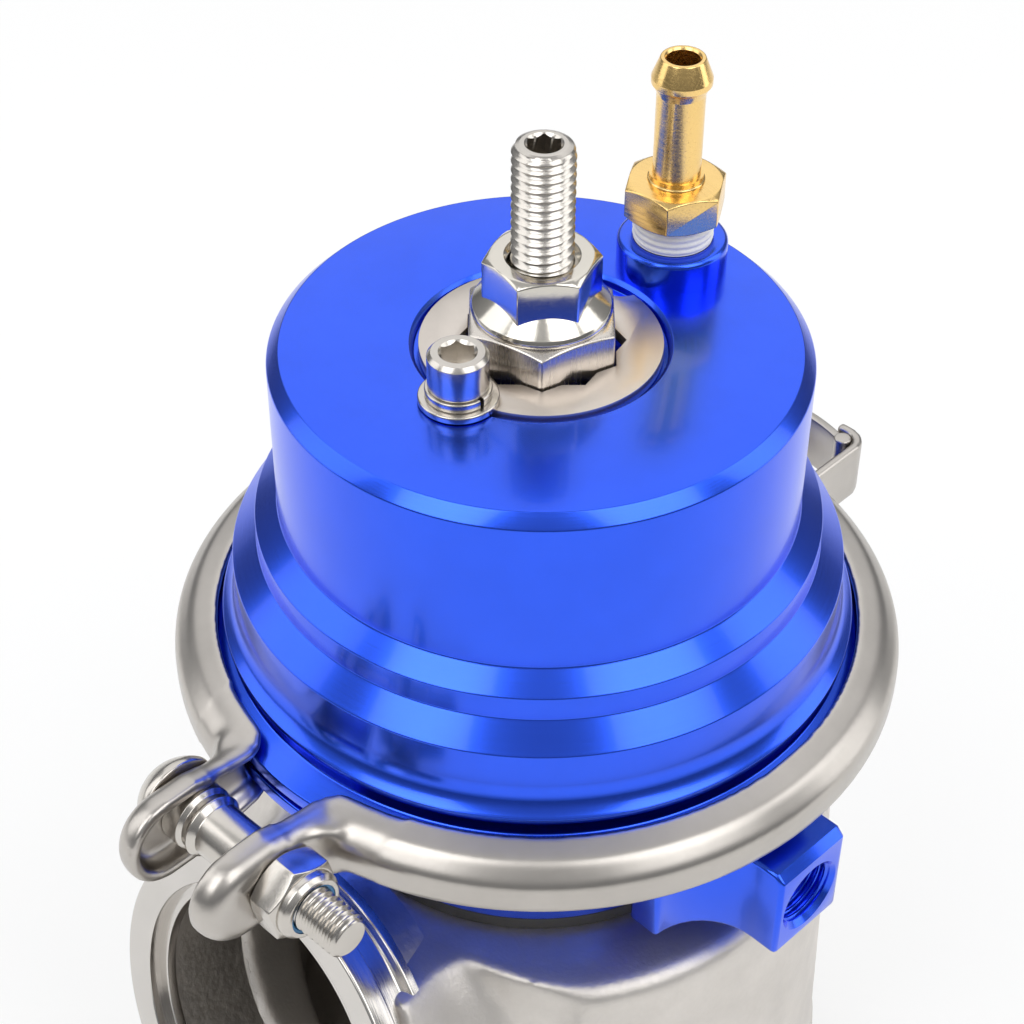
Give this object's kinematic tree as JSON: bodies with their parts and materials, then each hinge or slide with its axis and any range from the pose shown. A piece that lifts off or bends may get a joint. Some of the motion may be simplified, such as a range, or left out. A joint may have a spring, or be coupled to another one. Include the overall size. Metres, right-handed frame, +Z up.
{
  "type": "turbo wastegate",
  "caption": "External turbo wastegate: cast valve body with band-clamp flanges, blue diaphragm actuator, band clamp, adjuster and hose fitting.",
  "frame": {"origin": "centre of the inlet flange's lower face, on the valve's axis", "axes": "+Z up along the valve's axis towards the actuator, -Y to the outlet's side, +X to the lower port"},
  "size_m": [0.1009, 0.1279, 0.1804],
  "materials": {
    "cast_stainless": "investment cast and bead blasted stainless steel, satin",
    "turned_steel": "turned stainless steel",
    "machined_stainless": "machined stainless steel, fine grain",
    "fastener_stainless": "rolled and bright stainless fastener",
    "nickel_steel": "bright nickel plated steel",
    "clamp_stainless": "pressed stainless sheet, tumbled",
    "spring_steel": "hardened spring wire",
    "zinc_steel": "zinc plated steel",
    "plain_aluminium": "turned aluminium",
    "blue_anodised_cap": "turned aluminium, blue anodised, semi-gloss",
    "blue_anodised_housing": "cast and turned aluminium, blue anodised",
    "bronze": "turned bronze",
    "brass": "turned brass",
    "black_rubber": "moulded fluorocarbon rubber",
    "diaphragm_rubber": "fabric-reinforced silicone rubber",
    "gasket_fibre": "pressed heat-insulating fibre",
    "white_tape": "wound thread-seal tape",
    "blue_nylon": "moulded nylon"
  },
  "bodies": {
    "body": {"valve_body": "cast_stainless", "valve_seat": "turned_steel", "stem_guide": "bronze", "stem_seal": "black_rubber", "seal_circlip": "spring_steel", "insulator_gasket": "gasket_fibre", "lower_housing": "blue_anodised_housing", "housing_screws": "zinc_steel", "diaphragm": "diaphragm_rubber", "outer_spring": "spring_steel", "inner_spring": "spring_steel", "hinge_link": "clamp_stainless"},
    "valve": {"poppet_valve": "turned_steel", "diaphragm_washer": "plain_aluminium", "diaphragm_piston": "plain_aluminium", "stem_nut": "zinc_steel"},
    "cap": {"actuator_cap": "blue_anodised_cap", "upper_spring_seat": "plain_aluminium", "preload_adjuster": "machined_stainless", "adjuster_oring": "black_rubber", "hose_barb": "brass", "thread_tape": "white_tape"},
    "stop_stud": {"stop_stud": "fastener_stainless"},
    "stud_nut": {"stud_flange_nut": "nickel_steel"},
    "lock_plate": {"lock_plate": "machined_stainless", "lock_flat_washer": "nickel_steel", "lock_spring_washer": "nickel_steel"},
    "lock_screw": {"lock_screw": "fastener_stainless"},
    "clamp_right": {"clamp_half_right": "clamp_stainless"},
    "clamp_left": {"clamp_half_left": "clamp_stainless", "clamp_bolt": "nickel_steel", "clamp_spacer": "nickel_steel"},
    "clamp_insert": {"nylon_insert": "blue_nylon"},
    "clamp_nut": {"clamp_lock_nut": "nickel_steel"}
  },
  "joints": [
    {"name": "valve_lift", "type": "slide", "parent": "body", "child": "valve", "axis": [0, 0, 1], "range_m": [0, 0.012], "stiffness_N_per_m": 6000, "springref_m": -0.012, "deforming": ["outer_spring", "inner_spring", "diaphragm"]},
    {"name": "cap_turn", "type": "hinge", "parent": "body", "child": "cap", "pos_m": [0, 0, 0.1015], "axis": [0, 0, 1], "continuous": true},
    {"name": "stud_travel", "type": "slide", "parent": "cap", "child": "stop_stud", "axis": [0, 0, 1], "range_m": [-0.005, 0.006]},
    {"name": "stud_nut_turn", "type": "hinge", "parent": "cap", "child": "stud_nut", "pos_m": [0, 0, 0.158], "axis": [0, 0, 1], "range_deg": [0, 360]},
    {"name": "lock_plate_rise", "type": "slide", "parent": "cap", "child": "lock_plate", "axis": [0, 0, 1], "range_m": [0, 0.008]},
    {"name": "lock_screw_turn", "type": "hinge", "parent": "lock_plate", "child": "lock_screw", "pos_m": [0.00161, -0.01586, 0.1524], "axis": [0, 0, 1], "range_deg": [0, 3600]},
    {"name": "clamp_right_open", "type": "hinge", "parent": "body", "child": "clamp_right", "pos_m": [0.0078, 0.05718, 0.1015], "axis": [0, 0, 1], "range_deg": [0, 1.3]},
    {"name": "clamp_left_open", "type": "hinge", "parent": "body", "child": "clamp_left", "pos_m": [-0.01019, 0.0568, 0.1015], "axis": [0, 0, 1], "range_deg": [-1.3, 0]},
    {"name": "clamp_insert_travel", "type": "slide", "parent": "clamp_left", "child": "clamp_insert", "axis": [0.9998, 0.0209, 0], "range_m": [0, 0.0055]},
    {"name": "clamp_nut_turn", "type": "hinge", "parent": "clamp_insert", "child": "clamp_nut", "pos_m": [0.01317, -0.05574, 0.1015], "axis": [0.9998, 0.0209, 0], "range_deg": [0, 1980]}
  ],
  "couplings": [
    {"joint": "lock_screw_turn", "follows": "lock_plate_rise", "rad_per_m": 7854},
    {"joint": "clamp_left_open", "follows": "clamp_right_open", "ratio": -1},
    {"joint": "clamp_insert_travel", "follows": "clamp_right_open", "m_per_rad": 0.2424},
    {"joint": "clamp_nut_turn", "follows": "clamp_right_open", "ratio": 1523}
  ]
}
